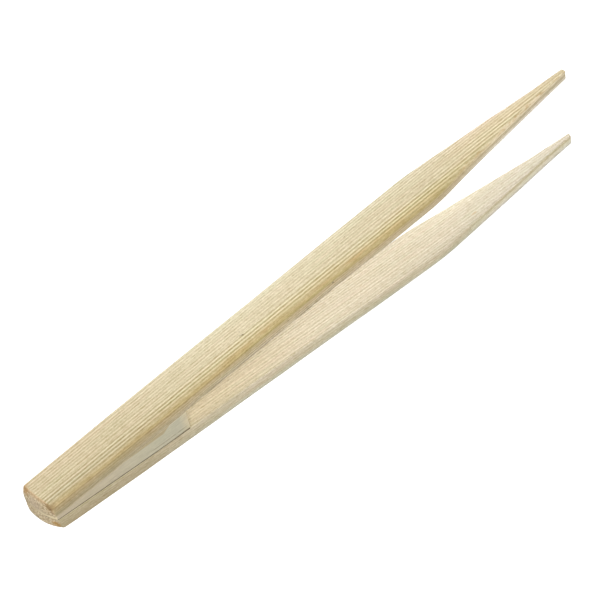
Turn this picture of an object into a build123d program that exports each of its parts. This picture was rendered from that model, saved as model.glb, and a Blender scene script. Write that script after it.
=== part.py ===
from build123d import *
import math
import os

# Bamboo print tongs: two flat, slightly bowed bamboo blades glued to either
# side of a thin tapered wooden wedge.  The blades are the springs.  Each is
# built as a root and an arm, which meet at a round knuckle just past the wedge.
#
# Frame, millimetres: the origin is the centre of the wedge's flat tip-side end
# (the crotch where the blades part), +X runs towards the tips, +Y across the
# blades and +Z through the upper blade.  The plane Z = 0 is the mirror plane
# between the blades.  A "station" is a distance along X from the cut butt.

# ------------------------------------------------------------------ dimensions
blade_length = 215.0            # cut butt to tip
wedge_length = 47.4             # butt to crotch
butt_overrun = 2.0              # extra stock behind the butt, for the dome to trim
root_half_gap = 0.60            # mirror plane to a blade's inner face at the butt
splay_angle = 3.25              # degrees, slope of the inner face near the butt
straight_length = 60.0          # length over which the inner face stays flat
grip_angle = 1.60               # degrees, flat gripping face behind the tip
grip_length = 25.0
grip_start = blade_length - grip_length

face_crown = 0.45               # rise of the outer face between its long edges
full_crown_half_width = 7.0     # narrower sections get proportionally less crown
shoulder_radius = 0.80          # rounding of a blade's two outer long edges
shoulder_limit = 0.45           # largest shoulder radius, as a share of half width
inner_stock = 1.0               # extra stock inside the inner face, trimmed later

dome_radius = 21.0              # hand-sanded butt end, one dome over all pieces
dome_proud = 1.0                # how far the dome's top stands behind the cut
dome_centre_y = 1.4             # the dome leans slightly to one side
dome_centre_z = 0.6

glue_thickness = 0.15           # glue film on each side of the wedge
lower_gap_length = 11.0         # the lower film swells into a tapered gap
lower_gap_depth = 0.35          # over this length, by this much, at the crotch

flex_station = 72.6             # station of a blade's bending centre
knuckle_radius = 4.0            # round seat that stands in for the bend
knuckle_clearance = 0.05

# construction blocks, all larger than the pieces they cut
reach = 12.0                    # half width of extruded side views
block_width = 4 * reach         # width across Y of cutting tools
dome_block_length = 12.0
butt_block_length = 100.0
tip_block_length = 200.0
split_block_height = 80.0
split_block_z = 20.0            # centre height of the blocks that split a blade
trim_top = 40.0                 # top of the block above the inner face
plan_reach = 20.0               # half height of the plan block
bow_step = 0.5                  # integration step along the bow

# ---------------------------------------------------------------------- tables
# beyond the flat zone each blade bows gently back towards the other one:
# (station, slope of the inner face in degrees)
bow_slopes = [
    (straight_length, splay_angle), (90.0, 3.30), (112.0, 3.15), (132.0, 2.85),
    (152.0, 2.52), (172.0, 2.30), (188.0, 1.75),
]
# (station, half width of a blade)
half_widths = [
    (-butt_overrun, 6.12), (0.0, 6.20), (15.0, 6.47), (35.0, 6.76), (55.0, 6.87),
    (80.0, 6.95), (105.0, 7.07), (125.0, 7.20), (138.0, 7.25), (146.0, 7.19),
    (151.0, 6.96), (158.0, 6.30), (168.0, 5.28), (180.0, 3.98), (190.0, 2.93),
    (203.0, 1.64), (blade_length, 0.60),
]
# (station, thickness of a blade at its long edges)
edge_thicknesses = [
    (-butt_overrun, 4.47), (0.0, 4.45), (70.0, 4.02), (140.0, 3.47),
    (190.0, 3.40), (blade_length, 3.38),
]
# stations of the lofted blade sections
section_stations = [
    -butt_overrun, 8.0, 20.0, 35.0, 52.0, 72.0, 90.0, 108.0, 124.0, 134.0,
    141.0, 147.0, 152.5, 159.0, 168.0, 178.0, 188.0, 198.0, 207.0, blade_length,
]
# the wedge and films follow the blade's width at the stations around the wedge
plan_stations = section_stations[:5]


# ---------------------------------------------------------------------- curves
def to_x(station):
    return station - wedge_length


def interpolate(table, station):
    """Straight-line interpolation, holding the last value past the end."""
    for (start, start_value), (end, end_value) in zip(table, table[1:]):
        if station <= end:
            share = (station - start) / (end - start)
            return start_value + (end_value - start_value) * share
    return table[-1][1]


def half_width(station):
    """Monotone cubic through the width table."""
    stations, widths = zip(*half_widths)
    count = len(stations) - 1
    spans = [stations[i + 1] - stations[i] for i in range(count)]
    secants = [(widths[i + 1] - widths[i]) / spans[i] for i in range(count)]

    # slope at each table point: weighted harmonic mean, zero at a peak
    slopes = [secants[0]] + [0.0] * (count - 1) + [secants[-1]]
    for i in range(1, count):
        if secants[i - 1] * secants[i] > 0:
            before = 2 * spans[i] + spans[i - 1]
            after = spans[i] + 2 * spans[i - 1]
            slopes[i] = (before + after) / (before / secants[i - 1] + after / secants[i])

    # Hermite cubic over the span that holds the station
    i = next(k for k in range(count) if station <= stations[k + 1])
    t = (station - stations[i]) / spans[i]
    return ((1 + 2 * t) * (1 - t) ** 2 * widths[i]
            + t * (1 - t) ** 2 * spans[i] * slopes[i]
            + t * t * (3 - 2 * t) * widths[i + 1]
            + t * t * (t - 1) * spans[i] * slopes[i + 1])


def inner_height(station):
    """Height of the upper blade's inner face above the mirror plane."""
    flat_run = min(station, straight_length)
    height = root_half_gap + flat_run * math.tan(math.radians(splay_angle))

    # the bow: sum the tabulated slope in short steps
    position = straight_length
    bow_end = min(station, grip_start)
    while position < bow_end - 1e-9:
        step = min(bow_step, bow_end - position)
        angle = interpolate(bow_slopes, position + step / 2)
        height += step * math.tan(math.radians(angle))
        position += step

    grip_run = max(0.0, station - grip_start)
    return height + grip_run * math.tan(math.radians(grip_angle))


def side_point(station, inset=0.0, side=1):
    """(x, z) on an inner face, or inset from it towards the mirror plane.

    side is 1 for the upper blade and -1 for the lower one.
    """
    return (to_x(station), side * (inner_height(station) - inset))


def direction(degrees):
    angle = math.radians(degrees)
    return (math.cos(angle), math.sin(angle))


# ----------------------------------------------------------------- blade blank
def blade_section(station):
    """Outline across the upper blade: square below, rounded and crowned above."""
    width = half_width(station)
    radius = min(shoulder_radius, shoulder_limit * width)
    crown = face_crown * min(1.0, width / full_crown_half_width)
    inner = inner_height(station)
    edge = inner + interpolate(edge_thicknesses, station)

    # each shoulder arc runs from the side wall up to the crowned face
    wall_top = edge - radius
    crown_side = width - radius
    crown_foot = edge + crown * (1 - (crown_side / width) ** 2)
    diagonal = math.sqrt(0.5)
    arc_y = crown_side + radius * diagonal
    arc_z = wall_top + (crown_foot - wall_top) * diagonal

    def point(y, z):
        return Vector(to_x(station), y, z)

    near_base = point(-width, inner - inner_stock)
    far_base = point(width, inner - inner_stock)
    near_wall = point(-width, wall_top)
    far_wall = point(width, wall_top)
    near_crown = point(-crown_side, crown_foot)
    far_crown = point(crown_side, crown_foot)
    return Wire([
        Line(near_base, far_base).edge(),
        Line(far_base, far_wall).edge(),
        ThreePointArc(far_wall, point(arc_y, arc_z), far_crown).edge(),
        ThreePointArc(far_crown, point(0, edge + crown), near_crown).edge(),
        ThreePointArc(near_crown, point(-arc_y, arc_z), near_wall).edge(),
        Line(near_wall, near_base).edge(),
    ])


def make_above_inner():
    """Everything above the inner face: flat, then bowed, then flat at the grip."""
    bow_points = [side_point(s) for s in [s for s, _ in bow_slopes] + [grip_start]]
    start = side_point(-butt_overrun)
    with BuildPart() as block:
        with BuildSketch(Plane.XZ):
            with BuildLine():
                Line(start, bow_points[0])
                Spline(*bow_points, tangents=[direction(splay_angle), direction(grip_angle)])
                grip = Line(bow_points[-1], side_point(blade_length))
                Polyline(grip @ 1, (to_x(blade_length), trim_top),
                         (to_x(-butt_overrun), trim_top), start)
            make_face()
        extrude(amount=reach, both=True)
    return block.part


def make_upper_blank():
    sections = [blade_section(s) for s in section_stations]
    return Solid.make_loft(sections, ruled=False) & make_above_inner()


def make_dome_cut():
    """The stock behind the sanded dome, removed from all butt pieces."""
    dome_top = to_x(0) - dome_proud
    block = Box(dome_block_length, block_width, block_width).moved(
        Location((dome_top, 0, 0)))
    ball = Sphere(dome_radius).moved(
        Location((dome_top + dome_radius, dome_centre_y, dome_centre_z)))
    return block - ball


upper_blank = make_upper_blank()
dome_cut = make_dome_cut()

# ------------------------------------------------------------- blade root, arm
pivot_x = to_x(flex_station)
pivot_z = inner_height(flex_station) + interpolate(edge_thicknesses, flex_station) / 2


def pivot_cylinder(radius):
    """Cylinder along Y through the upper blade's bending centre."""
    return Cylinder(radius, block_width, rotation=(90, 0, 0)).moved(
        Location((pivot_x, 0, pivot_z)))


def split_block(length, side):
    """Block that ends at the pivot; side is -1 towards the butt, 1 towards the tip."""
    return Box(length, block_width, split_block_height).moved(
        Location((pivot_x + side * length / 2, 0, split_block_z)))


def mirrored(shape):
    """The lower blade's counterpart of an upper shape."""
    return mirror(shape, about=Plane.XY)


butt_side = split_block(butt_block_length, -1)
tip_side = split_block(tip_block_length, 1)
knuckle = pivot_cylinder(knuckle_radius)
socket = pivot_cylinder(knuckle_radius + knuckle_clearance)


def make_root(blank, butt_block, socket_tool):
    return (blank & butt_block) - socket_tool - dome_cut


def make_upper_arm():
    return (upper_blank & tip_side) + (upper_blank & butt_side & knuckle)


upper_arm = make_upper_arm()


# -------------------------------------------------------- wedge and glue films
def make_plan():
    """Block with the blade's plan outline around the wedge."""
    with BuildPart() as block:
        with BuildSketch(Plane.XY):
            with BuildLine():
                near = Spline(*[(to_x(s), -half_width(s)) for s in plan_stations])
                far = Spline(*[(to_x(s), half_width(s)) for s in plan_stations])
                Line(near @ 0, far @ 0)
                Line(near @ 1, far @ 1)
            make_face()
        extrude(amount=plan_reach, both=True)
    return block.part


plan = make_plan()


def make_slab(points):
    """Extrude a side-view outline, then trim it to the plan and the dome."""
    with BuildPart() as block:
        with BuildSketch(Plane.XZ):
            with BuildLine():
                Polyline(*points, points[0])
            make_face()
        extrude(amount=reach, both=True)
    return (block.part & plan) - dome_cut


# side-view lines: a face lies on a blade, a skin on the wedge; upper lines and
# the lower face run from butt to crotch, the lower skin from crotch to butt
film = glue_thickness / math.cos(math.radians(splay_angle))    # measured along Z
wedge_ends = (-butt_overrun, wedge_length)
upper_face = [side_point(s) for s in wedge_ends]
upper_skin = [side_point(s, film) for s in wedge_ends]
lower_face = [side_point(s, side=-1) for s in wedge_ends]
lower_skin = [
    side_point(wedge_length, film + lower_gap_depth, side=-1),
    side_point(wedge_length - lower_gap_length, film, side=-1),
    side_point(-butt_overrun, film, side=-1),
]

# --------------------------------------------------------------------- output
pieces = {
    "upper_blade_root": make_root(upper_blank, butt_side, socket),
    "upper_blade_arm": upper_arm,
    "lower_blade_root": make_root(mirrored(upper_blank), mirrored(butt_side),
                                  mirrored(socket)),
    "lower_blade_arm": mirrored(upper_arm),
    "wedge_spacer": make_slab(upper_skin + lower_skin),
    "upper_glue_line": make_slab(upper_face + upper_skin[::-1]),
    "lower_glue_line": make_slab(lower_face + lower_skin),
}
os.makedirs("parts", exist_ok=True)
for name, shape in pieces.items():
    solids = shape.solids()
    body = solids[0] if len(solids) == 1 else Compound(children=list(solids))
    body.label = name
    export_step(body, f"parts/{name}.step")
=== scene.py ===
"""Two tapering bamboo blades glued to a wedge block at their butt end.

The length runs along x: butt end at x = -WEDGE, crotch (end of the wedge) at x = 0, tips at +x.
The upper blade is at +z and the lower at -z. "Near" is the -y side and "far" the +y side.
Shapes are in millimetres; `along` is the distance from the butt end, so x = along - WEDGE, and
`out` is the height above a blade's joint face, away from the other blade.
"""
import bpy, bmesh, math
import numpy as np
from types import SimpleNamespace
from mathutils import Matrix, Vector


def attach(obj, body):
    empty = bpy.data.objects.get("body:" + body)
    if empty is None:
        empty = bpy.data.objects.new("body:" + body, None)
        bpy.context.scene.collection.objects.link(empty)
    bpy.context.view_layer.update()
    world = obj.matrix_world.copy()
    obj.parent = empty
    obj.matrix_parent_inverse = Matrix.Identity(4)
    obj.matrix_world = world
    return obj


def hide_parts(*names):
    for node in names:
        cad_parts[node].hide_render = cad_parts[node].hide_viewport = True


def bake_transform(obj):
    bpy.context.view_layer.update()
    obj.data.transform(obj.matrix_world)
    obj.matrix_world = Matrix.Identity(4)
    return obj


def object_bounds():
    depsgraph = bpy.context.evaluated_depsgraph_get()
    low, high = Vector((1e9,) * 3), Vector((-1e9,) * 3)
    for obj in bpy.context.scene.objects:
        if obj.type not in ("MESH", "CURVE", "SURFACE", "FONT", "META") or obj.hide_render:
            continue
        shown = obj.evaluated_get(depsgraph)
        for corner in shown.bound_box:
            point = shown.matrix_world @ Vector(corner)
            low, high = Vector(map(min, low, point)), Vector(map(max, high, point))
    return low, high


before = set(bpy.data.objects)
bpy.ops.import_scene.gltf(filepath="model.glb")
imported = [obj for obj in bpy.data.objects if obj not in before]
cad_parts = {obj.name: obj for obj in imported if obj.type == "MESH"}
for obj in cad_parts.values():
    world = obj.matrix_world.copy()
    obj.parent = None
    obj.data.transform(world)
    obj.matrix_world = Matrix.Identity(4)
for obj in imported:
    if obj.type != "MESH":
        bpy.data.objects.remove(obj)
cad_box = [list(v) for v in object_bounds()]

MM = 0.001

# ------------------------------------------------------------------ dimensions
LENGTH, WEDGE = 215.0, 47.4         # whole length, and length of the wedge block
HALF_GAP, SPLAY = 0.60, 3.25        # inner face at the butt: height, and slope in degrees
BUTT_HALF_WIDTH, BUTT_EDGE = 6.20, 4.45
BUTT_HALF_HEIGHT = HALF_GAP + BUTT_EDGE
CROWN = 0.45                        # rise of the outer face between its edges
ARRIS = 0.20                        # rounding of the inner edges
FAR_SHOULDER_ROUND = 0.80
TIP_ROUND = 0.26
FILM = 0.15 / math.cos(math.radians(SPLAY))     # upper glue line, measured upright
LOWER_FILM = 0.26
LOWER_GAP_LENGTH, LOWER_GAP = 11.0, 0.22        # the lower glue line thickens to the crotch

# along, slope of the inner face in degrees
BOW = [(60.0, SPLAY), (90.0, 3.30), (112.0, 3.15), (132.0, 2.85), (152.0, 2.52),
       (172.0, 2.30), (188.0, 1.75), (190.0, 1.75), (190.01, 1.60), (215.0, 1.60)]
# along, half width of the even outline
WIDTHS = [(-2.0, 6.12), (0.0, BUTT_HALF_WIDTH), (15.0, 6.47), (35.0, 6.76), (55.0, 6.87),
          (80.0, 6.95), (105.0, 7.07), (125.0, 7.20), (138.0, 7.25), (146.0, 7.19),
          (151.0, 6.96), (158.0, 6.30), (168.0, 5.28), (180.0, 3.98), (190.0, 2.93),
          (203.0, 1.64), (215.0, 0.60)]
# along, blade thickness at its edges
EDGES = [(-2.0, 4.47), (0.0, BUTT_EDGE), (70.0, 4.02), (140.0, 3.47), (190.0, 3.40),
         (205.0, 3.34), (215.0, 3.12)]
# hand shaping. along, how far each edge strays outwards from the even outline
STRAY = {
    "upper": {
        "far": [(-2, 0.30), (4, 0.30), (27, 0.16), (54, 0.0), (77, -0.18), (97, -0.24),
                (118, -0.26), (138, -0.26), (148, -0.12), (160, -0.10), (172, 0.04),
                (184, 0.30), (196, 0.32), (208, 0.42), (215, 0.36)],
        "near": [(-2, 0.0), (105, 0.0), (112, 0.10), (118, 0.24), (124, 0.37), (130, 0.37),
                 (138, 0.36), (147, 0.44), (156, 0.30), (166, 0.12),
                 (180, 0.12), (200, 0.08), (210, 0.16), (215, 0.16)]},
    "lower": {
        "far": [(-2, 0.10), (60, 0.0), (126, 0.05), (136, 0.32), (142, 0.40), (146, 0.44),
                (150, 0.46), (153, 0.36), (158, 0.24), (162, 0.22), (172, 0.28),
                (184, 0.32), (196, 0.18), (206, 0.36), (215, 0.52)],
        "near": [(-2, 0.0), (20, 0.0), (55, -0.06), (90, -0.02), (111, 0.04), (131, 0.16),
                 (147, 0.20), (157, 0.13), (168, 0.02), (182, 0.0), (196, -0.12),
                 (207, -0.20), (215, -0.20)]},
}
# along, sideways lean of the upper tip towards the far side
UPPER_LEAN = [(-2, 0.0), (192, 0.0), (203, 0.12), (211, 0.32), (215, 0.46)]
# what else differs between the blades; near_corner is the extra rounding of the butt
# at the near shoulder and how many outline points it reaches
BLADES = {
    "upper": dict(up=+1, seed=100, length=LENGTH, tip_slant=0.0, near_corner=(0.75, 14.0)),
    "lower": dict(up=-1, seed=500, length=LENGTH - 0.2, tip_slant=0.45,
                  near_corner=(1.05, 16.0)),
}
# swells on the butt end: depth, then centre y, z and size y, z in half widths and heights
BUTT_SWELLS = [(0.43, -0.10, -1.0, 0.75, 0.50), (0.22, 1.0, 0.5, 0.40, 0.35)]
# distances of the outline rings from the butt end, and from the tip
BUTT_STEPS = [0.0, 0.03, 0.07, 0.12, 0.18, 0.25, 0.33, 0.43, 0.55, 0.7, 0.9, 1.15, 1.5, 2.0,
              2.7, 3.5, 4.4, 5.4]
BUTT_RUN = 6.4                      # from here on the rings stand square
TIP_STEPS = [2.0, 1.5, 1.1, 0.8, 0.6, 0.45, 0.33, 0.25, 0.18, 0.12, 0.07, 0.03, 0.0]
CROTCH_STEPS = [0.6, 0.42, 0.3, 0.2, 0.12, 0.06, 0.02, 0.0]


# ---------------------------------------------------------------------- curves
def smooth_curve(table, at):
    """Monotone cubic through the points of a table."""
    x, y = np.array(table, float).T
    step = np.diff(x)
    slope = np.diff(y) / step
    tangent = np.zeros(len(x))
    tangent[0], tangent[-1] = slope[0], slope[-1]
    for i in range(1, len(x) - 1):
        if slope[i - 1] * slope[i] > 0:
            before, after = 2 * step[i] + step[i - 1], step[i] + 2 * step[i - 1]
            tangent[i] = (before + after) / (before / slope[i - 1] + after / slope[i])
    at = np.asarray(at, float)
    i = np.clip(np.searchsorted(x, at, side="right") - 1, 0, len(step) - 1)
    t = (at - x[i]) / step[i]
    return ((1 + 2 * t) * (1 - t) ** 2 * y[i] + t * (1 - t) ** 2 * step[i] * tangent[i]
            + t * t * (3 - 2 * t) * y[i + 1] + t * t * (t - 1) * step[i] * tangent[i + 1])


def line(table, at):
    return np.interp(at, *zip(*table))


def ease(t):
    return t * t * (3 - 2 * t)


def smooth_step(value, low, high):
    return ease(np.clip((np.asarray(value, float) - low) / (high - low), 0, 1))


def half_width(along, blade=None, side=None):
    width = smooth_curve(WIDTHS, along)
    return width if blade is None else width + smooth_curve(STRAY[blade][side], along)


# the inner face's height is its slope summed over short steps
BOW_STEP = 0.25
bow_along = np.arange(-4.0, 216.01, BOW_STEP)
bow_slope = np.tan(np.radians(line(BOW, bow_along + BOW_STEP / 2)))
bow_height = np.concatenate([[0.0], np.cumsum(bow_slope[:-1] * BOW_STEP)])
bow_height += HALF_GAP - np.interp(0.0, bow_along, bow_height)


def inner_height(along):
    return np.interp(along, bow_along, bow_height)


def lower_drop(along):
    """The lower joint lies a little below the even line, easing out past the crotch."""
    return (0.30 - 0.12 * smooth_step(along, 42.0, WEDGE)
            - 0.18 * smooth_step(along, WEDGE, 58.0))


def lower_joint(along):
    return -inner_height(along) - lower_drop(along)


def wedge_top(along):
    return inner_height(along) - FILM


def wedge_bottom(along):
    start = WEDGE - LOWER_GAP_LENGTH
    gap = LOWER_GAP * np.clip((along - start) / LOWER_GAP_LENGTH, 0, 1)
    return lower_joint(along) + LOWER_FILM + gap


def butt_end(y, z):
    """Where the hand-sanded butt ends, as along, for a point across the end."""
    across, up = y / BUTT_HALF_WIDTH, z / BUTT_HALF_HEIGHT
    dome = 0.5 * (np.abs(across) ** 2.2 + np.abs(up) ** 2.2)
    end = -0.95 + 1.42 * dome - 0.62 * across - 0.20 * up + 0.55 * across * up
    for depth, mid_y, mid_z, size_y, size_z in BUTT_SWELLS:
        end = end - depth * np.exp(-((across - mid_y) / size_y) ** 2
                                   - ((up - mid_z) / size_z) ** 2)
    return np.maximum(end, -1.30)


def round_in(radius, distance):
    """How far a cut end's rounding pulls the outline in, at a distance from the end."""
    k = np.clip(1 - distance / radius, 0, 1)
    return radius * (1 - np.sqrt(np.maximum(0, 1 - k * k)))


# ------------------------------------------------------------------ patterns
def smooth_noise(count, step, seed, size=1.0):
    """1-D smooth noise sampled at count places, one knot every `step` samples."""
    knots = np.random.RandomState(seed).uniform(-1, 1, int(count / step) + 4)
    t = np.arange(count) / step
    i = t.astype(int)
    f = ease(t - i)
    return size * (knots[i] * (1 - f) + knots[i + 1] * f)


class Grooves:
    """Fine scratches across a face that wander slowly along the blade."""
    ROWS = 26

    def __init__(self, seed, low, high, spacing):
        random = np.random.RandomState(seed)
        self.low, self.step = low, spacing / 2
        count = int((high - low) / self.step) + 8
        row = random.uniform(-1, 1, count)
        rows = []
        for _ in range(self.ROWS):
            row = 0.80 * row + 0.60 * random.uniform(-1, 1, count)
            rows.append(row)
        self.rows = np.array(rows)

    def __call__(self, along, across):
        column = np.clip((across - self.low) / self.step, 0, self.rows.shape[1] - 2.001)
        row = np.clip(along / LENGTH * (self.ROWS - 1), 0, self.ROWS - 1.001)
        i, j = column.astype(int), row.astype(int)
        f, g = ease(column - i), ease(row - j)
        before = self.rows[j, i] * (1 - f) + self.rows[j, i + 1] * f
        after = self.rows[j + 1, i] * (1 - f) + self.rows[j + 1, i + 1] * f
        return before * (1 - g) + after * g


class Ribs:
    """Fibre bundles side by side: nearly regular lines, one per pitch, drifting slowly."""
    TERMS = 15

    def __init__(self, seed, pitch, spread):
        random, count, turn = np.random.RandomState(seed), self.TERMS, 2 * math.pi
        self.frequency = turn * np.clip(random.normal(1 / pitch, spread / pitch, count),
                                        0.6 / pitch, 1.5 / pitch)
        self.phase = random.uniform(0, turn, count)
        self.drift = random.normal(0, 0.010, count)
        self.sway = random.uniform(0.1, 0.7, count)
        self.sway_frequency = random.uniform(0.02, 0.08, count)
        self.sway_phase = random.uniform(0, turn, count)
        self.weight = (random.uniform(0.6, 1.2, count)
                       * (self.frequency * pitch / turn) ** 3)
        self.norm = math.sqrt(0.5 * (self.weight ** 2).sum())

    def __call__(self, along, across):
        along = np.asarray(along, float)[..., None]
        across = np.asarray(across, float)[..., None]
        sway = self.sway * np.sin(self.sway_frequency * along + self.sway_phase)
        waves = np.cos(self.frequency * across + self.phase + self.drift * along + sway)
        return np.tanh(1.1 * (self.weight * waves).sum(-1) / self.norm) * 1.25


# ---------------------------------------------------------------------- meshes
def new_mesh(name, points, faces, attributes):
    mesh = bpy.data.meshes.new(name)
    mesh.from_pydata([tuple(v) for v in points * MM], [], faces)
    mesh.validate()
    for key, values in attributes.items():
        values = np.asarray(values, np.float32)
        kind, field = ("FLOAT_VECTOR", "vector") if values.ndim == 2 else ("FLOAT", "value")
        attribute = mesh.attributes.new(key, kind, "POINT")
        attribute.data.foreach_set(field, values.ravel())
    bm = bmesh.new()
    bm.from_mesh(mesh)
    bmesh.ops.recalc_face_normals(bm, faces=bm.faces)
    bm.to_mesh(mesh)
    bm.free()
    mesh.polygons.foreach_set("use_smooth", [True] * len(mesh.polygons))
    mesh.update()
    return link_object(name, mesh)


def link_object(name, data):
    obj = bpy.data.objects.new(name, data)
    bpy.context.scene.collection.objects.link(obj)
    return obj


def outline_parts(counts):
    """For each outline point, the part it is on and its share of the way along that part."""
    return (np.repeat(np.arange(len(counts)), counts),
            np.concatenate([np.arange(n) / n for n in counts]))


def bridge(first, second, pairs):
    return [(first + j, first + k, second + k, second + j) for j, k in pairs]


def capped_tube(name, rings, caps, centre, place):
    """A tube through rings, closed at both ends.

    rings: dicts of point values, among them along, y and out
    caps: for the first and the last ring (layers, end_at(y, out), values set on the cap)
    centre: values set on a cap's middle point
    place: turns all point values into positions and attributes
    """
    size = len(rings[0]["y"])
    pairs = [(j, (j + 1) % size) for j in range(size)]
    rows, faces = list(rings), []
    for i in range(len(rings) - 1):
        faces += bridge(i * size, (i + 1) * size, pairs)
    count = len(rings) * size
    swapped = [(k, j) for j, k in pairs]
    for index, turned, (layers, end_at, fixed) in zip((0, len(rings) - 1), (swapped, pairs), caps):
        edge, previous = rings[index], index * size
        middle = edge["out"].mean()
        for layer in range(1, layers):
            shrink = 1 - layer / layers
            y = edge["y"] * shrink
            out = middle + (edge["out"] - middle) * shrink
            blend = min(1.0, (1 - shrink) * 5)
            along = end_at(y, out) * blend + edge["along"] * (1 - blend)
            rows.append({**edge, **fixed, "along": along, "y": y, "out": out})
            faces += bridge(previous, count, turned)
            previous = count
            count += size
        y, out = np.zeros(1), np.array([middle])
        rows.append({**fixed, **centre, "along": end_at(y, out), "y": y, "out": out})
        faces += [(previous + j, previous + k, count) for j, k in turned]
        count += 1
    values = {key: np.concatenate([np.broadcast_to(row[key], row["y"].shape) for row in rows])
              for key in rings[0]}
    points, attributes = place(SimpleNamespace(**values))
    return new_mesh(name, points, faces, attributes)


def butt_stations(end):
    """(along, distance from the end, end grain): the sanded end easing into square rings."""
    for step in BUTT_STEPS:
        fade = 1 - min(1.0, step / BUTT_RUN) ** 1.5
        yield end * fade + step, step, 1 - smooth_step(step, 0.10, 0.55)


# parts of a blade's outline, in order round it, and their segment counts
(OUTER, FAR_SHOULDER, FAR_SIDE, FAR_ARRIS,
 INNER, NEAR_ARRIS, NEAR_SIDE, NEAR_SHOULDER) = range(8)
BLADE_COUNTS = (128, 11, 18, 4, 96, 4, 18, 11)


class Blade:
    def __init__(self, name):
        self.name = name
        self.spec = SimpleNamespace(**BLADES[name])
        self.part, self.share = outline_parts(BLADE_COUNTS)
        seed = self.spec.seed
        self.outer_ribs = Ribs(seed, pitch=1.17, spread=0.16)
        self.inner_ribs = Ribs(seed + 1, pitch=1.17, spread=0.17)
        self.side_ribs = Ribs(seed + 2, pitch=0.90, spread=0.25)
        self.outer_grooves = Grooves(seed + 3, -9, 9, spacing=0.42)
        self.inner_grooves = Grooves(seed + 4, -9, 9, spacing=0.36)
        self.side_grooves = Grooves(seed + 5, -1, 7, spacing=0.40)
        # slow unevenness of the near edge, the far edge and the thickness: step, size
        self.wobbles = [smooth_noise(260, step, seed + 6 + i, size)
                        for i, (step, size) in enumerate(((9, 0.04), (9, 0.04), (14, 0.03)))]

    def height(self, along, out):
        return self.spec.up * (inner_height(along) + out)

    def ring(self, along, inset, lift, endgrain=0.0):
        """An outline pulled in by inset, its inner face raised off the joint by lift."""
        share = self.share
        along = np.broadcast_to(np.asarray(along, float), share.shape)
        if self.name == "lower":
            lift = lift + lower_drop(along)
            near_round = 0.62
        else:
            near_round = 1.05 + 0.30 * smooth_step(-along, -40, -5)
        even = half_width(along)
        far = half_width(along, self.name, "far") - inset
        near = half_width(along, self.name, "near") - inset
        near_round = np.minimum(near_round, 0.5 * even)
        far_round = np.minimum(FAR_SHOULDER_ROUND, 0.5 * even)
        arris = np.minimum(ARRIS, 0.25 * even)
        crown = CROWN * np.minimum(1.0, even / 7.0)
        edge = line(EDGES, along) - inset
        ring = {key: np.zeros(len(share))
                for key in ("y", "out", "normal_y", "normal_out", "outer", "inner")}

        def fill(part, **values):
            on = self.part == part
            for key, value in values.items():
                ring[key][on] = np.broadcast_to(value, share.shape)[on]

        y = -(near - near_round) + ((far - far_round) + (near - near_round)) * share
        width = np.where(y < 0, near, far)
        fill(OUTER, y=y, out=edge + crown * (1 - (y / width) ** 2),
             normal_y=2 * crown * y / width ** 2, normal_out=1, outer=1)
        fill(INNER, y=(far - arris) + (-(near - arris) - (far - arris)) * share,
             out=lift, normal_out=-1, inner=1)
        for facing, width, radius, shoulder, side, corner in (
                (1, far, far_round, FAR_SHOULDER, FAR_SIDE, FAR_ARRIS),
                (-1, near, near_round, NEAR_SHOULDER, NEAR_SIDE, NEAR_ARRIS)):
            down, up = (share, 1 - share) if facing > 0 else (1 - share, share)
            cos, sin = np.cos(up * math.pi / 2), np.sin(up * math.pi / 2)
            rise = crown * (1 - ((width - radius) / width) ** 2)
            fill(shoulder, y=facing * (width - radius + radius * cos),
                 out=edge - radius + (radius + rise) * sin,
                 normal_y=facing * cos, normal_out=sin, outer=sin ** 2)
            top, bottom = edge - radius, arris + lift
            fill(side, y=facing * width, out=top + (bottom - top) * down, normal_y=facing)
            cos, sin = np.cos(down * math.pi / 2), np.sin(down * math.pi / 2)
            fill(corner, y=facing * (width - arris + arris * cos),
                 out=arris * (1 - sin) + lift,
                 normal_y=facing * cos, normal_out=-sin, inner=sin ** 2)

        y = ring["y"]
        down = np.clip((edge - ring["out"]) / np.maximum(edge, 0.1), 0, 1)
        lateral = np.clip(y / np.where(y < 0, near + inset, far + inset), -1, 1)
        return self.roughen(along, even, endgrain=endgrain, down=down, lateral=lateral, **ring)

    def roughen(self, along, even, y, out, normal_y, normal_out, outer, inner, **kept):
        """Adds ribs, grooves and slow unevenness to an outline."""
        part = self.part
        outer_rib, inner_rib = self.outer_ribs(along, y), self.inner_ribs(along, y)
        side_rib = self.side_ribs(along, out)
        rib = np.where(inner > 0, inner * inner_rib + (1 - inner) * side_rib,
                       outer * outer_rib + (1 - outer) * side_rib)
        relief = np.select(
            [np.isin(part, (OUTER, FAR_SHOULDER, NEAR_SHOULDER)),
             np.isin(part, (FAR_SIDE, NEAR_SIDE)),
             (part == INNER) & (along > WEDGE + 0.3)],
            [0.011 * outer_rib + 0.008 * self.outer_grooves(along, y),
             0.007 * side_rib + 0.007 * self.side_grooves(along, out),
             0.006 * inner_rib + 0.006 * self.inner_grooves(along, y) - 0.012], 0.0)
        near_wobble, far_wobble, thinning = [
            np.interp(np.clip(along, 0, 258), np.arange(260), wobble)
            for wobble in self.wobbles]
        stray = (np.where(y < 0, near_wobble, far_wobble) * np.minimum(1.0, even / 4.0)
                 * np.minimum(1, np.abs(y) / even) ** 6)
        new_y = y + normal_y * relief - np.sign(y) * stray
        if self.name == "upper":
            new_y = new_y + smooth_curve(UPPER_LEAN, along)
        new_out = (out + normal_out * relief
                   - np.abs(thinning) * (np.clip(out, 0, 9) / 4.2) ** 2)
        return dict(along=along, y=new_y, out=new_out, outer=outer, inner=inner, rib=rib, **kept)

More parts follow.
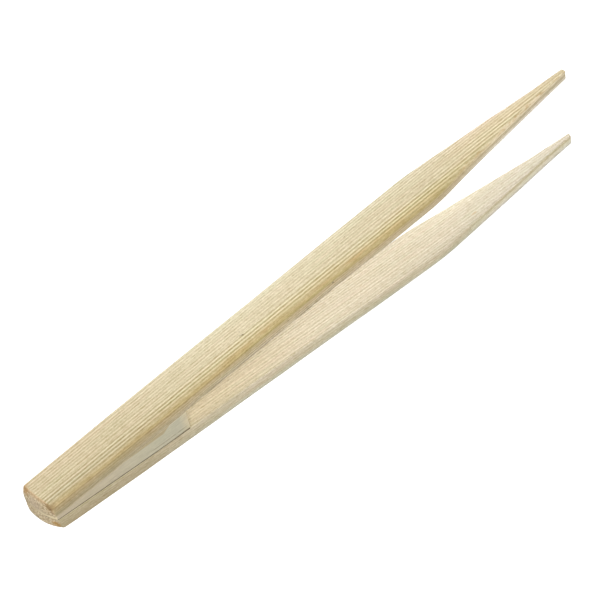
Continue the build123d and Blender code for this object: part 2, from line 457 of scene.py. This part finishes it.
    def rings(self):
        size, length = len(self.share), self.spec.length
        corner = sum(BLADE_COUNTS[:-1]) + BLADE_COUNTS[-1] // 2
        away = np.abs((np.arange(size) - corner + size / 2) % size - size / 2)
        extra, reach = self.spec.near_corner
        end_round = 0.45 + extra * np.exp(-(away / reach) ** 2)
        # settle where each outline point meets the sanded end
        end = np.zeros(size)
        for _ in range(4):
            ring = self.ring(end, end_round * 0.6, 0.0)
            end = butt_end(ring["y"], self.height(end, ring["out"]))
        rings = [self.ring(along, round_in(end_round, step), 0.0, endgrain)
                 for along, step, endgrain in butt_stations(end)]
        rings += [self.ring(along, 0.0, 0.0) for along in np.arange(BUTT_RUN, length - 2.6, 0.9)]
        for step in TIP_STEPS:
            inset = float(round_in(TIP_ROUND, step))
            y = self.ring(length - step, inset, inset)["y"]
            slant = self.spec.tip_slant * np.clip(y, -1, 1) * (1 - step / 2.2)
            rings.append(self.ring(length - step + slant, inset, inset,
                                   1 - smooth_step(step, 0.05, 0.3)))
        return rings

    def place(self, p):
        points = np.stack([p.along - WEDGE, p.y, self.height(p.along, p.out)], 1)
        return points, {
            "grain": np.stack([p.along, p.y, p.out], 1),
            "zone": np.stack([p.outer, p.inner, p.down], 1),
            "rib": np.stack([p.rib, p.lateral, np.zeros(len(p.y))], 1),
            "endgrain": p.endgrain}

    def build(self):
        random = np.random.RandomState(self.spec.seed + 31)

        def butt_at(y, out):
            along = np.zeros(len(y))
            for _ in range(3):
                along = butt_end(y, self.height(along, out))
            return along + random.uniform(-0.02, 0.02, len(y))

        def tip_at(y, out):
            return self.spec.length + self.spec.tip_slant * np.clip(y, -1, 1)

        cut = dict(rib=0.0, endgrain=1.0)
        return capped_tube(self.name + "_blade", self.rings(),
                           [(16, butt_at, cut), (5, tip_at, cut)],
                           dict(outer=0.0, inner=0.0, down=0.5, lateral=0.0), self.place)


def block(name, top, bottom, set_in, seed, butt_inset, length, mouth_round, bulge, counts):
    """A full-width slab between two heights, domed at the butt and square at the crotch.

    set_in: how far its sides lie inside the blades' outline
    butt_inset: how far its butt lies inside the blades' butt
    counts: segments across the width and up each side
    """
    part, share = outline_parts(counts * 2)     # top, far side, bottom, near side
    on_side = part % 2 == 1
    grooves = Grooves(seed, -5, 5, spacing=0.5)
    width_noise, bulge_noise = smooth_noise(420, 6, seed + 2), smooth_noise(420, 2, seed + 3)

    def ring(along, inset, endgrain=0.0, mouth=0.0):
        along = np.broadcast_to(np.asarray(along, float), share.shape)
        high, low = top(along), bottom(along)
        wander, swell = [np.interp(np.clip(along, 0, 50) * 8, np.arange(420), noise)
                         for noise in (width_noise, bulge_noise)]
        near = half_width(along)
        far = near + (smooth_curve(STRAY["upper"]["far"], along)
                      + smooth_curve(STRAY["lower"]["far"], along)) / 2
        near, far = [width - inset - set_in + 0.008 * wander for width in (near, far)]
        y = np.choose(part, [-near + (far + near) * share, far,
                             far - (far + near) * share, -near])
        z = np.choose(part, [high, high + (low - high) * share,
                             low, low + (high - low) * share])
        ones = np.ones(len(share))
        upness = np.choose(part, [ones, 1 - share, 0 * ones, share])
        belly = np.where(on_side, 1 - (2 * share - 1) ** 2, 0.0)
        scratch = np.where(on_side, 0.006 * grooves(along, z), 0.0)
        y = y + np.sign(y) * (belly * bulge * (0.8 + 0.5 * swell) + scratch)
        return dict(along=along, y=y, out=z, upness=upness, endgrain=endgrain, mouth=mouth)

    def butt_at(y, z):
        return butt_end(y, z) + butt_inset

    def place(p):
        return np.stack([p.along - WEDGE, p.y, p.out], 1), {
            "grain": np.stack([p.along, p.y, p.out], 1),
            "side": np.stack([p.upness, top(p.along) - p.out, p.mouth], 1),
            "endgrain": p.endgrain}

    end = np.zeros(len(share))
    for _ in range(4):
        first = ring(end, 0.30)
        end = butt_at(first["y"], first["out"])
    rings = [ring(along, float(round_in(0.50, step)), endgrain)
             for along, step, endgrain in butt_stations(end)]
    rings += [ring(along, 0.0) for along in np.arange(BUTT_RUN, length - 0.9, 0.45)]
    # mouth marks the crotch end, where the wedge gets its painted highlight
    rings += [ring(length - step, float(round_in(mouth_round, step)),
                   mouth=1 - smooth_step(step, 0.05, 0.55)) for step in CROTCH_STEPS]
    caps = [(9, butt_at, dict(endgrain=1.0, mouth=0.0)),
            (9, lambda y, z: length, dict(endgrain=0.0, mouth=0.6))]
    return capped_tube(name, rings, caps, dict(upness=0.5), place)


upper = Blade("upper").build()
lower = Blade("lower").build()
wedge = block("wedge_block", wedge_top, wedge_bottom, set_in=0.02, seed=900, butt_inset=0.0,
              length=WEDGE, mouth_round=0.10, bulge=0.0, counts=(64, 22))
upper_glue = block("glue_line_upper", inner_height, wedge_top, set_in=0.03, seed=930,
                   butt_inset=0.0, length=WEDGE - 0.04, mouth_round=0.05, bulge=0.035,
                   counts=(44, 6))
lower_glue = block("glue_line_lower", wedge_bottom, lower_joint, set_in=0.06, seed=960,
                   butt_inset=0.04, length=WEDGE - 0.06, mouth_round=0.05, bulge=0.01,
                   counts=(44, 8))


# --------------------------------------------------------------- shader building
class Value:
    """A node's output; arithmetic on it adds math nodes."""

    def __init__(self, shader, socket):
        self.shader, self.socket = shader, socket

    def __add__(self, other): return self.shader.math("ADD", self, other)
    def __radd__(self, other): return self.shader.math("ADD", other, self)
    def __sub__(self, other): return self.shader.math("SUBTRACT", self, other)
    def __rsub__(self, other): return self.shader.math("SUBTRACT", other, self)
    def __mul__(self, other): return self.shader.math("MULTIPLY", self, other)
    def __truediv__(self, other): return self.shader.math("DIVIDE", self, other)
    def __abs__(self): return self.shader.math("ABSOLUTE", self)

    def scaled(self, gain, base):
        return self.shader.math("MULTIPLY_ADD", self, gain, base)

    def at_least(self, other):
        return self.shader.math("MAXIMUM", self, other)

    def rise(self, low, high):
        """Smoothly 0 at low to 1 at high."""
        inputs = dict(enumerate((self, low, high, 0.0, 1.0)))
        return self.shader.node("ShaderNodeMapRange", inputs,
                                interpolation_type="SMOOTHSTEP", clamp=True)

    def fall(self, low, high):
        return 1.0 - self.rise(low, high)


class Shader:
    """A material's node tree."""

    def __init__(self, name):
        self.material = bpy.data.materials.new(name)
        self.material.use_nodes = True
        self.tree = self.material.node_tree
        self.tree.nodes.clear()

    def node(self, kind, inputs={}, output=0, **properties):
        node = self.tree.nodes.new(kind)
        node.location = (40 * len(self.tree.nodes), 0)
        for key, value in properties.items():
            setattr(node, key, value)
        for key, value in inputs.items():
            if isinstance(value, Value):
                self.tree.links.new(value.socket, node.inputs[key])
            else:
                node.inputs[key].default_value = value
        return Value(self, node.outputs[output]) if node.outputs else None

    def math(self, operation, *operands):
        return self.node("ShaderNodeMath", dict(enumerate(operands)), operation=operation)

    def length(self, *parts):
        total = parts[0] * parts[0]
        for part in parts[1:]:
            total = total + part * part
        return self.math("SQRT", total)

    def attribute(self, name, output="Fac"):
        return self.node("ShaderNodeAttribute", output=output, attribute_name=name)

    def vector(self, name, shift=None):
        """The three parts of a vector attribute."""
        value = self.attribute(name, "Vector")
        if shift is not None:
            value = self.node("ShaderNodeVectorMath", {0: value, 1: shift}, operation="ADD")
        parts = self.node("ShaderNodeSeparateXYZ", {0: value})
        return [Value(self, socket) for socket in parts.socket.node.outputs]

    def combine(self, *parts):
        return self.node("ShaderNodeCombineXYZ", dict(enumerate(parts)))

    def noise(self, place, frequency, detail=2.0, rough=0.5, shift=0.0):
        """Noise with a frequency per mm along, across and out."""
        where = self.combine(place[0].scaled(frequency[0], shift),
                             place[1] * frequency[1], place[2] * frequency[2])
        return self.node("ShaderNodeTexNoise", {"Vector": where, "Scale": 1.0,
                         "Detail": detail, "Roughness": rough}, "Fac")

    def mix(self, amount, base, over, mode="MIX"):
        base, over = [(*v, 1.0) if isinstance(v, tuple) else v for v in (base, over)]
        return self.node("ShaderNodeMix", {0: amount, 6: base, 7: over}, 2,
                         data_type="RGBA", blend_type=mode, clamp_factor=True)

    def times(self, colour, *factors):
        """Multiplies a colour by one factor, or by one for each of red, green and blue."""
        factors = factors * 3 if len(factors) == 1 else factors
        return self.mix(1.0, colour, self.combine(*factors), "MULTIPLY")

    def zones(self, along, colours, spans=((8.0, 84.0), (148.0, 186.0))):
        """Colours one after another along the blade, changing over the spans."""
        result = colours[0]
        for colour, span in zip(colours[1:], spans):
            result = self.mix(along.rise(*span), result, colour)
        return result

    def finish(self, colour, rough, height, strength, bump, specular):
        normal = self.node("ShaderNodeBump", {"Strength": strength, "Distance": bump * MM,
                                              "Height": height})
        surface = self.node("ShaderNodeBsdfPrincipled", {
            "Base Color": colour, "Roughness": rough, "Specular IOR Level": specular,
            "Normal": normal})
        return self.output(surface)

    def output(self, surface):
        self.node("ShaderNodeOutputMaterial", {"Surface": surface})
        return self.material


def linear(value):
    value = value / 255
    return value / 12.92 if value <= 0.04045 else ((value + 0.055) / 1.055) ** 2.4


def tone(rgb, light):
    """A surface colour that reads as rgb where `light` falls on it."""
    colour = [linear(v) / light for v in rgb]
    limit = min(1.0, 0.90 / max(colour))
    return tuple(v * limit for v in colour)


def tones(lights, *rgbs):
    return [tone(rgb, light) for rgb, light in zip(rgbs, lights)]


# ---------------------------------------------------------------------- bamboo
# the light each kind of surface gets, so colours can be given as they look;
# three values are for root, middle and tip
FACE, NEAR, FAR = (1.02, 1.00, 0.93), (1.05, 1.02, 0.94), (0.98, 0.95, 0.92)
UPPER_SIDE, LOWER_SIDE = (0.97, 0.95, 0.90), (0.94, 0.91, 0.86)
INNER_LIGHT = (0.70, 0.76, 0.86, 0.90)      # mouth, root, middle, tip
UPPER_END, LOWER_END = 0.75, 0.70
WEDGE_SIDE = 0.95

# frequency along, across and out, then detail, roughness and shift
BAMBOO_NOISES = {
    "fine": ((0.05, 4.6, 4.6), 2.0, 0.55, 0.0),
    "hair": ((0.11, 11.0, 11.0), 2.0, 0.6, 0.0),
    "fleck": ((0.50, 3.0, 3.0), 2.0, 0.6, 0.0),
    "grit": ((1.6, 4.2, 4.2), 1.0, 0.5, 23.0),
    "blotch": ((0.045, 0.42, 0.42), 2.0, 0.5, 0.0),
    "hue": ((0.07, 0.8, 0.7), 2.0, 0.5, 31.0),
    "patch": ((0.10, 0.35, 0.5), 2.0, 0.55, 77.0),
    "pores": ((0.30, 4.0, 4.0), 1.0, 0.5, 11.0),
    "speckle": ((0.6, 2.0, 2.3), 3.0, 0.65, 3.0),
}
# thin dark lines low on the side: place down the side, width, strength
SEAM_LINES = [(0.70, 0.06, 0.34), (0.93, 0.07, 0.60)]


def bamboo_colours(side, end):
    """Colours both blades share, for the light on their sides and butt end."""
    return dict(
        face=tones(FACE, (204, 188, 151), (217, 203, 168), (216, 199, 162)),
        near_face=tones(NEAR, (191, 177, 140), (206, 189, 143), (212, 199, 159)),
        far_face=tones(FAR, (205, 187, 151), (219, 208, 175), (228, 209, 180)),
        inner_face=tones(INNER_LIGHT, (186, 177, 146), (187, 175, 146), (207, 196, 172),
                         (217, 207, 184)),
        gold_deep=tone((198, 169, 114), NEAR[0]), gold_pale=tone((204, 184, 137), NEAR[0]),
        cut_fleck=tone((196, 170, 126), side[2]),
        end_dark=tone((152, 132, 100), end), end_light=tone((210, 195, 164), end),
        end_dot=tone((156, 132, 94), end), end_rim=tone((176, 146, 108), end))


# side_bands: colours at the top, middle and bottom of the side
# band_lift: the side brightens over the first span, fades over the second, by the last value
# contrast: rib strength on the outer face, its gain where dense, on the inner face, on sides
# spots on the butt end: across, out, radius, colour, strength
# burns round the butt's edge: across, out, sizes across, out and along, colour, strength
# flecks: along, across (out on a side), length, width, colour, strength, surface
UPPER_BAMBOO = dict(
    bamboo_colours(UPPER_SIDE, UPPER_END), shift=(0.0, 0.0, 0.0), gold=0.75,
    side_bands=[tones(UPPER_SIDE, (178, 156, 110), (179, 161, 110), (228, 212, 180)),
                tones(UPPER_SIDE, (173, 155, 116), (195, 176, 139), (196, 181, 148)),
                tones(UPPER_SIDE, (163, 150, 117), (202, 187, 156), (233, 223, 205))],
    band_lift=((150.0, 160.0), (180.0, 192.0), 0.055),
    seam=tone((120, 104, 84), UPPER_SIDE[0]), joint=None,
    contrast=(0.110, 0.115, 0.118, 0.150),
    spots=[(5.2, 3.9, 1.9, tone((162, 128, 84), UPPER_END), 0.85),
           (-5.0, 3.3, 1.9, tone((140, 114, 76), UPPER_END), 0.85),
           (-5.7, 1.5, 0.9, tone((140, 112, 84), UPPER_END), 0.6),
           (-5.7, 4.0, 0.45, tone((104, 80, 52), UPPER_END), 0.85),
           (-5.3, 2.8, 0.38, tone((112, 86, 56), UPPER_END), 0.8),
           (1.0, 1.6, 3.0, tone((186, 168, 148), UPPER_END), 0.35)],
    burns=[(-5.9, 3.8, 1.3, 1.5, 1.7, tone((138, 112, 76), 0.92), 0.50),
           (5.6, 4.2, 1.2, 1.0, 1.2, tone((176, 148, 108), 0.85), 0.6)],
    flecks=[(74.4, -2.2, 0.60, 0.30, tone((112, 100, 68), FACE[1]), 0.80, "outer"),
            (73.7, -2.0, 0.36, 0.24, tone((132, 116, 82), FACE[1]), 0.7, "outer"),
            (74.6, -0.6, 0.30, 0.22, tone((140, 124, 90), FACE[1]), 0.6, "outer"),
            (120.0, 2.4, 0.6, 0.20, tone((160, 140, 98), FACE[1]), 0.7, "outer"),
            (105.6, 2.3, 0.45, 0.30, tone((104, 94, 74), UPPER_SIDE[1]), 0.85, "side"),
            (87.6, 1.8, 0.7, 0.25, tone((130, 116, 92), UPPER_SIDE[1]), 0.5, "side")])
LOWER_BAMBOO = dict(
    bamboo_colours(LOWER_SIDE, LOWER_END), shift=(400.0, 60.0, 11.0), gold=0.6,
    side_bands=[tones(LOWER_SIDE, (168, 154, 122), (197, 194, 171), (210, 204, 189)),
                tones(LOWER_SIDE, (172, 158, 126), (199, 188, 158), (234, 225, 198)),
                tones(LOWER_SIDE, (180, 167, 134), (207, 194, 167), (200, 188, 153))],
    band_lift=((128.0, 140.0), (166.0, 178.0), 0.055),
    seam=None, joint=tone((112, 96, 66), LOWER_END),
    contrast=(0.110, 0.115, 0.118, 0.075),
    spots=[(-4.7, 2.7, 1.6, tone((166, 130, 76), LOWER_END), 0.9),
           (4.8, 2.2, 1.2, tone((176, 156, 118), LOWER_END), 0.5)],
    burns=[(-4.9, 3.2, 1.5, 1.3, 1.3, tone((168, 136, 84), 0.85), 0.6)],
    flecks=[(121.0, 0.4, 0.55, 0.12, tone((196, 166, 120), INNER_LIGHT[2]), 0.7, "inner"),
            (167.0, -2.6, 1.6, 0.25, tone((206, 178, 130), INNER_LIGHT[2]), 0.7, "inner")])


class Bamboo(Shader):
    def __init__(self, name, look):
        super().__init__(name)
        self.look = SimpleNamespace(**look)
        self.raw = self.vector("grain")
        self.grain = self.vector("grain", self.look.shift)
        self.along, self.across, self.out = self.raw
        self.outer, self.inner, self.down = self.vector("zone")
        self.rib, self.lateral, _ = self.vector("rib")
        self.end = self.attribute("endgrain")
        self.near = self.lateral * -1.0
        self.noises = SimpleNamespace(**{key: self.noise(self.grain, *values)
                                         for key, values in BAMBOO_NOISES.items()})
        self.pore = self.noises.pores.rise(0.665, 0.75)
        # fibre bundles seen end-on
        x, y, z = self.grain
        bundles = self.node("ShaderNodeTexVoronoi", {
            "Vector": self.combine(x * 0.05, y * 1.5, z * 1.5), "Scale": 1.25},
            "Distance", feature="F1")
        self.dots = bundles.fall(0.12, 0.44)

    def outer_face(self):
        """Paler along the far edge, golden and denser towards the near one."""
        look, near, along, noises = self.look, self.near, self.along, self.noises
        edge = (near + (noises.blotch - 0.5) * 0.5).rise(0.18, 0.86)
        colour = self.mix(edge, self.zones(along, look.face), self.zones(along, look.near_face))
        colour = self.mix(self.lateral.rise(0.2, 0.95), colour,
                          self.zones(along, look.far_face))
        golden = near.rise(0.70, 0.90) * noises.patch.rise(0.28, 0.52) * look.gold
        golden = golden * along.fall(142.0, 160.0) * along.rise(38.0, 80.0).scaled(0.62, 0.38)
        tint = self.noise(self.raw, (0.07, 0.3, 0.3), detail=1.0, shift=19.0).rise(0.34, 0.58)
        return self.mix(golden, colour, self.mix(tint, look.gold_pale, look.gold_deep))

    def sides(self):
        look, along, down = self.look, self.along, self.down
        top, middle, bottom = [self.zones(along, band) for band in look.side_bands]
        colour = self.mix(down.rise(0.12, 0.50), top, middle)
        colour = self.mix(down.rise(0.50, 0.90), colour, bottom)
        start, stop, gain = look.band_lift
        colour = self.times(colour, 1.0 + along.rise(*start) * along.fall(*stop) * gain)
        if look.seam:
            # the lines show over this span and fade in and out
            span = along.rise(44.0, 56.0) * along.fall(100.0, 132.0)
            broken = self.noise(self.raw, (0.12, 0.0, 0.0), rough=0.6).rise(0.36, 0.56)
            for place, width, strength in SEAM_LINES:
                on_line = abs(down - place).fall(width * 0.3, width)
                colour = self.mix(on_line * span * broken * strength, colour, look.seam)
        return colour

    def inner_face(self):
        """Painted shade towards the near edge and painted light towards the far one past the
        crotch.
        """
        along = self.along
        colour = self.zones(along, self.look.inner_face,
                            ((46.0, 54.0), (52.0, 108.0), (118.0, 176.0)))
        # painted shade over the near part and painted light over the far part, standing in for
        # light reaching the gap from the far side
        near_shade = self.near.rise(0.2, 1.0) * along.rise(110.0, 160.0).scaled(-0.07, -0.045)
        far_painted_light = (self.lateral.rise(0.0, 1.0) * along.rise(50.0, 105.0)
                     * along.rise(160.0, 190.0).scaled(-0.12, 0.22))
        return self.times(colour, 1.0 + near_shade + far_painted_light)

    def fibres(self, colour):
        """Ribs and fine grain darken and lighten the colour, blue the most."""
        noises, outer, inner, near = self.noises, self.outer, self.inner, self.near
        on_outer, when_dense, on_inner, on_side = self.look.contrast
        dense = near.rise(-0.30, 0.40) * (1.0 - near.rise(0.72, 0.92) * 0.8)
        inner_calm = self.along.rise(138.0, 178.0).scaled(-0.45, 1.0)
        outer_calm = self.along.rise(165.0, 205.0).scaled(-0.25, 1.0)
        strength = (outer * outer_calm * dense.scaled(when_dense, on_outer)
                    + inner * inner_calm * on_inner)
        strength = strength + (1.0 - outer.at_least(inner)) * on_side
        strength = strength * noises.blotch.scaled(0.8, 0.6)
        specks = (noises.fleck - 0.5) * 0.68 + (noises.grit - 0.5) * 0.56
        grain = (self.rib * strength + (noises.fine - 0.5) * 0.34 + (noises.hair - 0.5) * 0.28
                 + specks + (noises.blotch - 0.5) * 0.14)
        grain = grain - self.pore * 0.13
        hue = noises.hue - 0.5
        return self.times(colour, *[1.0 + grain * grain_gain + hue * hue_gain for
                          grain_gain, hue_gain in ((0.92, 0.10), (1.04, -0.03), (1.45, 0.05))])

    def body(self):
        outer, inner, along = self.outer, self.inner, self.along
        colour = self.mix(inner, self.mix(outer, self.sides(), self.outer_face()),
                          self.inner_face())
        # the inner arrises are darker, less so near the tip
        arris = inner * (1.0 - inner) * (1.0 - along.rise(135.0, 165.0) * 0.9)
        colour = self.times(colour, arris.scaled(-0.44, 1.0))
        # brown flecks where the taper cuts through the outer layers
        cut = (along.rise(152.0, 166.0) * outer.rise(0.02, 0.3) * outer.fall(0.75, 1.0)
               * self.near.rise(0.0, 0.5))
        broken = self.noise(self.raw, (0.33, 1.2, 1.2), rough=0.6, shift=5.0).rise(0.50, 0.62)
        return self.fibres(self.mix(cut * broken * 0.75, colour, self.look.cut_fleck))

    def cut_end(self):
        """Fibre bundles end-on, browner towards the outer skin."""
        look, across, out, speckle = self.look, self.across, self.out, self.noises.speckle
        colour = self.mix(speckle.rise(0.38, 0.62), look.end_dark, look.end_light)
        colour = self.mix(self.dots * (1.0 - self.down).scaled(0.40, 0.22), colour, look.end_dot)
        colour = self.mix(out.rise(3.3, 4.5) * 0.62, colour, look.end_rim)
        for spot_across, spot_out, radius, spot, strength in look.spots:
            reach = self.length(across - spot_across, out - spot_out) / radius
            reach = reach + (speckle - 0.5) * 0.9
            colour = self.mix(reach.fall(0.45, 1.05) * strength, colour, spot)
        if look.joint:
            # the joint line shows dark along the near half of the end
            joint = out.fall(0.14, 0.46) * across.fall(-3.4, -0.6)
            colour = self.mix(joint * 0.62, colour, look.joint)
        return colour

    def add_burns(self, colour):
        for across, out, size_across, size_out, size_along, burn, strength in self.look.burns:
            reach = self.length((self.along - 0.5) / size_along,
                                (self.across - across) / size_across,
                                (self.out - out) / size_out)
            reach = (reach + (self.noises.speckle - 0.5) * 2.4
                     + (self.noises.fine - 0.5) * 0.8)
            colour = self.mix(reach.fall(0.40, 1.00) * strength, colour, burn)
        return colour

    def add_flecks(self, colour):
        for along, place, length, width, fleck, strength, surface in self.look.flecks:
            if surface == "side":
                mask = (1.0 - self.outer.at_least(self.inner)) * self.near.rise(0.0, 0.5)
            else:
                mask = self.outer if surface == "outer" else self.inner
            crossing = self.out if surface == "side" else self.across
            reach = self.length((self.along - along) / length, (crossing - place) / width)
            reach = reach + (self.noises.fleck - 0.5) * 0.5
            colour = self.mix(reach.fall(0.5, 1.0) * strength * mask, colour, fleck)
        return colour

    def build(self):
        noises, end = self.noises, self.end
        colour = self.mix(end, self.body(), self.cut_end())
        colour = self.add_flecks(self.add_burns(colour))
        height = (noises.fine * 0.6 + noises.hair * 0.45 + noises.fleck * 0.3
                  + self.pore * -0.6 + end * (noises.speckle * 1.8 + self.dots * 0.6))
        return self.finish(colour, rough=0.50 + noises.hair * 0.20 + end * 0.12,
                           height=height, strength=0.5, bump=0.05, specular=0.30)


# -------------------------------------------------------------- wedge and glue
def wedge_material():
    # the lip and pale colours give the painted highlight at the crotch end; pale also colours the
    # strip beneath the split line
    root, mouth_colour, lip_highlight, smear, split_line, pale = [tone(rgb, WEDGE_SIDE) for rgb in (
        (188, 175, 149), (188, 183, 159), (212, 197, 162), (176, 161, 127), (140, 128, 100),
        (214, 204, 176))]
    end_dark, end_light, end_far = [tone(rgb, LOWER_END) for rgb in (
        (196, 180, 146), (216, 202, 168), (178, 160, 128))]
    shader = Shader("wedge_wood")
    mix, noise = shader.mix, shader.noise
    place, end = shader.vector("grain"), shader.attribute("endgrain")
    # mouth: how near a point is to the crotch end, for the painted highlight there
    upness, below, mouth = shader.vector("side")    # below: depth under the top face
    along, across, _ = place
    grain = noise(place, (0.05, 1.2, 2.0), detail=3.0, rough=0.6)
    hair = noise(place, (0.22, 7.0, 8.0), rough=0.6)
    spots = noise(place, (0.5, 1.3, 1.3))
    hue = noise(place, (0.12, 0.5, 0.9), shift=9.0) - 0.5
    colour = mix(along.rise(8.0, 44.0), root, mouth_colour)
    # glue and dust wiped along the upper seam, ending in a slanted edge near the mouth
    reach = 0.10 + ((along - 26.0) * 0.092).at_least(0.0) + (spots - 0.5) * 0.30
    wiped = (reach - below).rise(-0.05, 0.12) * (along + below * 1.85).fall(40.7, 41.4)
    colour = mix(wiped * 0.95, colour, smear)
    # a faint split line above the lower seam, with a paler strip beneath it
    above = upness * (below / (1.0 - upness).at_least(0.02))
    span = along.rise(31.0, 35.0) * along.fall(45.6, 47.0)
    broken = noise(place, (0.5, 0.0, 0.0), rough=0.6, shift=8.0).rise(0.30, 0.50)
    split = abs(above - 1.22).fall(0.06, 0.24) * span * broken
    colour = mix(split * 0.55, colour, split_line)
    strip = above.rise(0.20, 0.40) * above.fall(0.85, 1.05) * along.rise(28.0, 37.0)
    colour = mix(strip * 0.12, colour, pale)
    # painted highlight on the crotch end and along its edge
    colour = mix(mouth * 0.75, colour, pale)
    # a painted highlight with a ragged edge over the last few millimetres before the crotch
    colour = mix((along + (spots - 0.5) * 1.2).rise(44.2, WEDGE) * 0.70, colour, lip_highlight)
    grit = noise(place, (1.2, 3.0, 3.0), detail=1.0, shift=2.0)
    shade = (1.0 + (grain - 0.5) * 0.36 + (hair - 0.5) * 0.42 + (spots - 0.5) * 0.16
             + (grit - 0.5) * 0.20)
    colour = shader.times(colour, shade + hue * 0.06, shade, shade + hue * 0.08)
    ends = mix(noise(place, (1.0, 0.9, 3.0)).rise(0.35, 0.65), end_dark, end_light)
    ends = mix(across.rise(-2.5, 2.0) * 0.75, ends, end_far)
    return shader.finish(mix(end, colour, ends), rough=hair.scaled(0.15, 0.56),
                         height=grain * 0.5 + hair * 0.6,
                         strength=0.45, bump=0.04, specular=0.28)


def glue_material(name, dark, light, pale, pale_from):
    """Streaked glue, paler on its upper part beyond pale_from and in patches on the end."""
    dark, light, pale = [tone(rgb, WEDGE_SIDE) for rgb in (dark, light, pale)]
    shader = Shader(name)
    place, end = shader.vector("grain"), shader.attribute("endgrain")
    upness = shader.vector("side")[0]
    streak = shader.noise(place, (0.30, 0.8, 3.0), detail=3.0, rough=0.6)
    blob = shader.noise(place, (1.6, 1.6, 1.6), detail=3.0, rough=0.6)
    colour = shader.mix(streak.rise(0.35, 0.65), dark, light)
    gap = place[0].rise(pale_from, pale_from + 4) * upness.rise(0.35, 0.6) * 0.6
    colour = shader.mix(gap, colour, pale)
    patches = (shader.noise(place, (0.3, 0.8, 0.8), rough=0.6, shift=4.0)
               + place[1].rise(-3.5, 1.5) * 0.30)
    colour = shader.mix(end * patches.rise(0.52, 0.70), colour, pale)
    colour = shader.times(colour, blob.scaled(0.30, 0.85))
    return shader.finish(colour, rough=blob.scaled(0.25, 0.36), height=streak + blob,
                         strength=0.5, bump=0.05, specular=0.40)


upper_bamboo = Bamboo("bamboo_upper", UPPER_BAMBOO).build()
lower_bamboo = Bamboo("bamboo_lower", LOWER_BAMBOO).build()
wedge_wood = wedge_material()
tan_glue = glue_material("glue_tan", dark=(172, 158, 126), light=(184, 171, 142),
                         pale=(196, 180, 146), pale_from=60.0)
brown_glue = glue_material("glue_brown", dark=(74, 63, 42), light=(104, 91, 66),
                           pale=(170, 154, 118), pale_from=34.0)

for obj, material, slot in ((upper, upper_bamboo, "upper_blade"),
                            (lower, lower_bamboo, "lower_blade"),
                            (wedge, wedge_wood, "wedge"),
                            (upper_glue, tan_glue, "glue"),
                            (lower_glue, brown_glue, "glue")):
    obj.data.materials.append(material)

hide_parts("upper_blade_root", "upper_blade_arm")
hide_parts("lower_blade_root", "lower_blade_arm")
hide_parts("wedge_spacer")
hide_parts("upper_glue_line")
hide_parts("lower_glue_line")
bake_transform(upper)
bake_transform(lower)
for obj in (wedge, upper_glue, lower_glue):
    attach(obj, "butt")


# ------------------------------------------------- floor, world and lights, metres
FLOOR_HALF, FLOOR_DROP = 6.0, 0.0006


def floor_material():
    """White to the camera, grey to other rays, and clear from below."""
    shader = Shader("floor_white")
    below = shader.node("ShaderNodeNewGeometry", output="Backfacing")
    camera_ray = shader.node("ShaderNodeLightPath", output="Is Camera Ray")
    grey = shader.node("ShaderNodeBsdfDiffuse", {0: (0.45, 0.45, 0.45, 1)})
    glow = shader.node("ShaderNodeEmission", {0: (1, 1, 1, 1), 1: 1.0})
    clear = shader.node("ShaderNodeBsdfTransparent")
    white = shader.node("ShaderNodeAddShader", {0: grey, 1: glow})
    seen = shader.node("ShaderNodeMixShader", {0: camera_ray, 1: grey, 2: white})
    return shader.output(shader.node("ShaderNodeMixShader", {0: below, 1: seen, 2: clear}))


def make_floor():
    height = cad_box[0][2] - FLOOR_DROP
    corners = [(-1, -1), (1, -1), (1, 1), (-1, 1)]
    mesh = bpy.data.meshes.new("floor")
    mesh.from_pydata([(x * FLOOR_HALF, y * FLOOR_HALF, height) for x, y in corners],
                     [], [(0, 1, 2, 3)])
    floor = link_object("floor", mesh)
    mesh.materials.append(floor_material())


def area_light(name, place, target, size, power):
    light = bpy.data.lights.new(name, "AREA")
    light.shape = "RECTANGLE"
    light.size, light.size_y = size
    light.energy = power
    light.color = (1, 1, 1)
    obj = bpy.data.objects.new(name, light)
    obj.location = place
    obj.rotation_mode = "QUATERNION"
    obj.rotation_quaternion = (Vector(target) - Vector(place)).to_track_quat("-Z", "Y")
    bpy.context.scene.collection.objects.link(obj)


make_floor()
world = bpy.data.worlds.new("studio")
bpy.context.scene.world = world
world.use_nodes = True
background = world.node_tree.nodes["Background"]
background.inputs["Color"].default_value = (1, 1, 1, 1)
background.inputs["Strength"].default_value = 0.28
area_light("key", place=(-0.46, -0.80, 0.76), target=(0.06, 0, 0), size=(0.55, 0.55), power=13.0)
area_light("back", place=(0.09, 0.85, 0.40), target=(0.07, 0, 0), size=(0.9, 0.30), power=6.5)

# ---------------------------------------------------------------------- camera
# rows: the view's right, down and forward directions
VIEW = [[0.7178, -0.6768, -0.1631], [-0.5458, -0.4017, -0.7353], [0.4322, 0.6169, -0.6578]]
CAMERA_PLACE = (-152.1163 - WEDGE, -357.0768, 384.3476)     # mm


def make_camera():
    data = bpy.data.cameras.new("camera")
    data.sensor_width = 36.0
    data.lens = 119.988
    data.shift_x, data.shift_y = -0.00083333, 0.00083333
    data.clip_start, data.clip_end = 0.01, 20
    camera = link_object("camera", data)
    # the nearest true rotation to the rounded directions
    left, _, right = np.linalg.svd(np.array(VIEW))
    view = left @ right
    matrix = Matrix.Identity(4)
    for i in range(3):
        matrix[i] = (view[0][i], -view[1][i], -view[2][i], CAMERA_PLACE[i] * MM)
    camera.matrix_world = matrix
    bpy.context.scene.camera = camera


make_camera()
settings = bpy.context.scene.view_settings
settings.view_transform = "Standard"
settings.look = "None"
settings.exposure = 0.0
settings.gamma = 1.0
